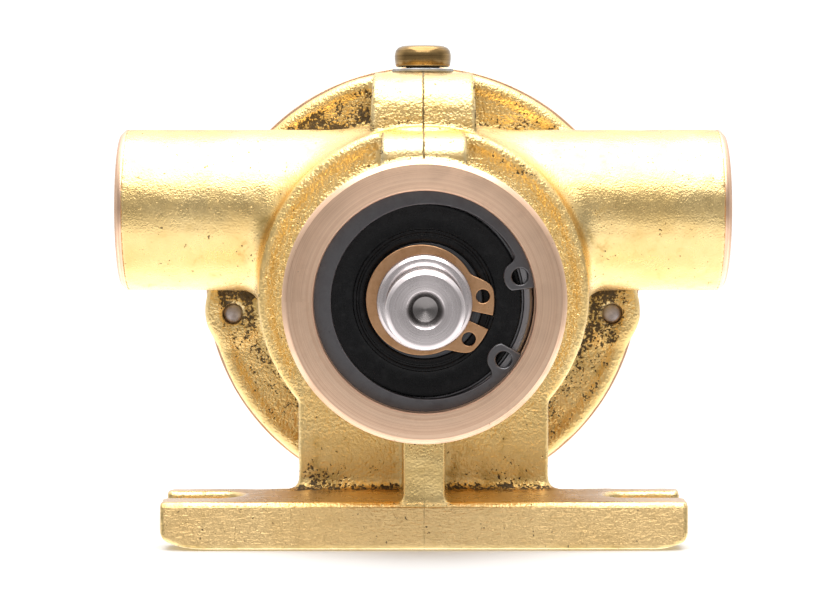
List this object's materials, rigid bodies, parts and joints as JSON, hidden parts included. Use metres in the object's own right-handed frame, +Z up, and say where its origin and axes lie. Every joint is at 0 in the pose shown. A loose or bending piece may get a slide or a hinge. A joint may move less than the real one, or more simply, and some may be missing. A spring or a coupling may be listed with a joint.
{
  "type": "flexible impeller water pump",
  "caption": "Cast brass raw-water pump on a slotted foot: a shaft in sealed ball bearings turns a rubber impeller between in-line ports, behind a screwed end cover.",
  "frame": {"origin": "middle of the foot's underside, under the shaft", "axes": "+X to the right-hand port seen from the drive end, +Y along the shaft to the end cover, +Z up"},
  "size_m": [0.105, 0.0884, 0.083],
  "materials": {
    "cast_brass": "as-cast, lightly polished",
    "cover_bronze": "turned",
    "aged_brass": "aged, satin",
    "cam_bronze": "cast",
    "insert_brass": "machined",
    "stainless": "turned, bright",
    "washer_steel": "dull",
    "screw_steel": "satin",
    "race_steel": "ground",
    "ball_steel": "polished",
    "cage_steel": "pressed",
    "dark_spring_steel": "dark phosphate, satin",
    "copper_spring_steel": "copper coloured, brushed",
    "seal_rubber": "satin",
    "impeller_rubber": "matte",
    "gasket_paper": "matte"
  },
  "bodies": {
    "housing": {"pump_body": "cast_brass", "cover_gasket": "gasket_paper", "end_cover": "cover_bronze", "cover_screw_1": "screw_steel", "cover_screw_2": "screw_steel", "cover_screw_3": "screw_steel", "cover_screw_4": "screw_steel", "cover_screw_5": "screw_steel", "cover_screw_6": "screw_steel", "cam": "cam_bronze", "cam_screw": "aged_brass", "cam_washer": "washer_steel", "wear_plate": "screw_steel", "lip_seal": "seal_rubber", "seal_spring": "screw_steel", "bore_circlip": "dark_spring_steel", "front_bearing_outer_race": "race_steel", "front_bearing_front_seal": "seal_rubber", "front_bearing_rear_seal": "seal_rubber", "rear_bearing_outer_race": "race_steel", "rear_bearing_front_seal": "seal_rubber", "rear_bearing_rear_seal": "seal_rubber"},
    "rotor": {"shaft": "stainless", "shaft_circlip": "copper_spring_steel", "bearing_spacer": "race_steel", "slinger": "impeller_rubber", "impeller": "impeller_rubber", "impeller_insert": "insert_brass", "drive_pin": "stainless", "front_bearing_inner_race": "race_steel", "rear_bearing_inner_race": "race_steel"},
    "front_cage": {"front_bearing_cage": "cage_steel", "front_bearing_ball_1": "ball_steel", "front_bearing_ball_2": "ball_steel", "front_bearing_ball_3": "ball_steel", "front_bearing_ball_4": "ball_steel", "front_bearing_ball_5": "ball_steel", "front_bearing_ball_6": "ball_steel", "front_bearing_ball_7": "ball_steel", "front_bearing_ball_8": "ball_steel"},
    "rear_cage": {"rear_bearing_cage": "cage_steel", "rear_bearing_ball_1": "ball_steel", "rear_bearing_ball_2": "ball_steel", "rear_bearing_ball_3": "ball_steel", "rear_bearing_ball_4": "ball_steel", "rear_bearing_ball_5": "ball_steel", "rear_bearing_ball_6": "ball_steel", "rear_bearing_ball_7": "ball_steel", "rear_bearing_ball_8": "ball_steel"}
  },
  "joints": [
    {"name": "shaft_spin", "type": "hinge", "parent": "housing", "child": "rotor", "pos_m": [0, 0, 0.0409], "axis": [0, 1, 0], "continuous": true, "deforming": ["impeller"]},
    {"name": "front_cage_spin", "type": "hinge", "parent": "housing", "child": "front_cage", "pos_m": [0, 0, 0.0409], "axis": [0, 1, 0], "continuous": true},
    {"name": "rear_cage_spin", "type": "hinge", "parent": "housing", "child": "rear_cage", "pos_m": [0, 0, 0.0409], "axis": [0, 1, 0], "continuous": true}
  ],
  "couplings": [
    {"joint": "front_cage_spin", "follows": "shaft_spin", "ratio": 0.381},
    {"joint": "rear_cage_spin", "follows": "shaft_spin", "ratio": 0.381}
  ]
}
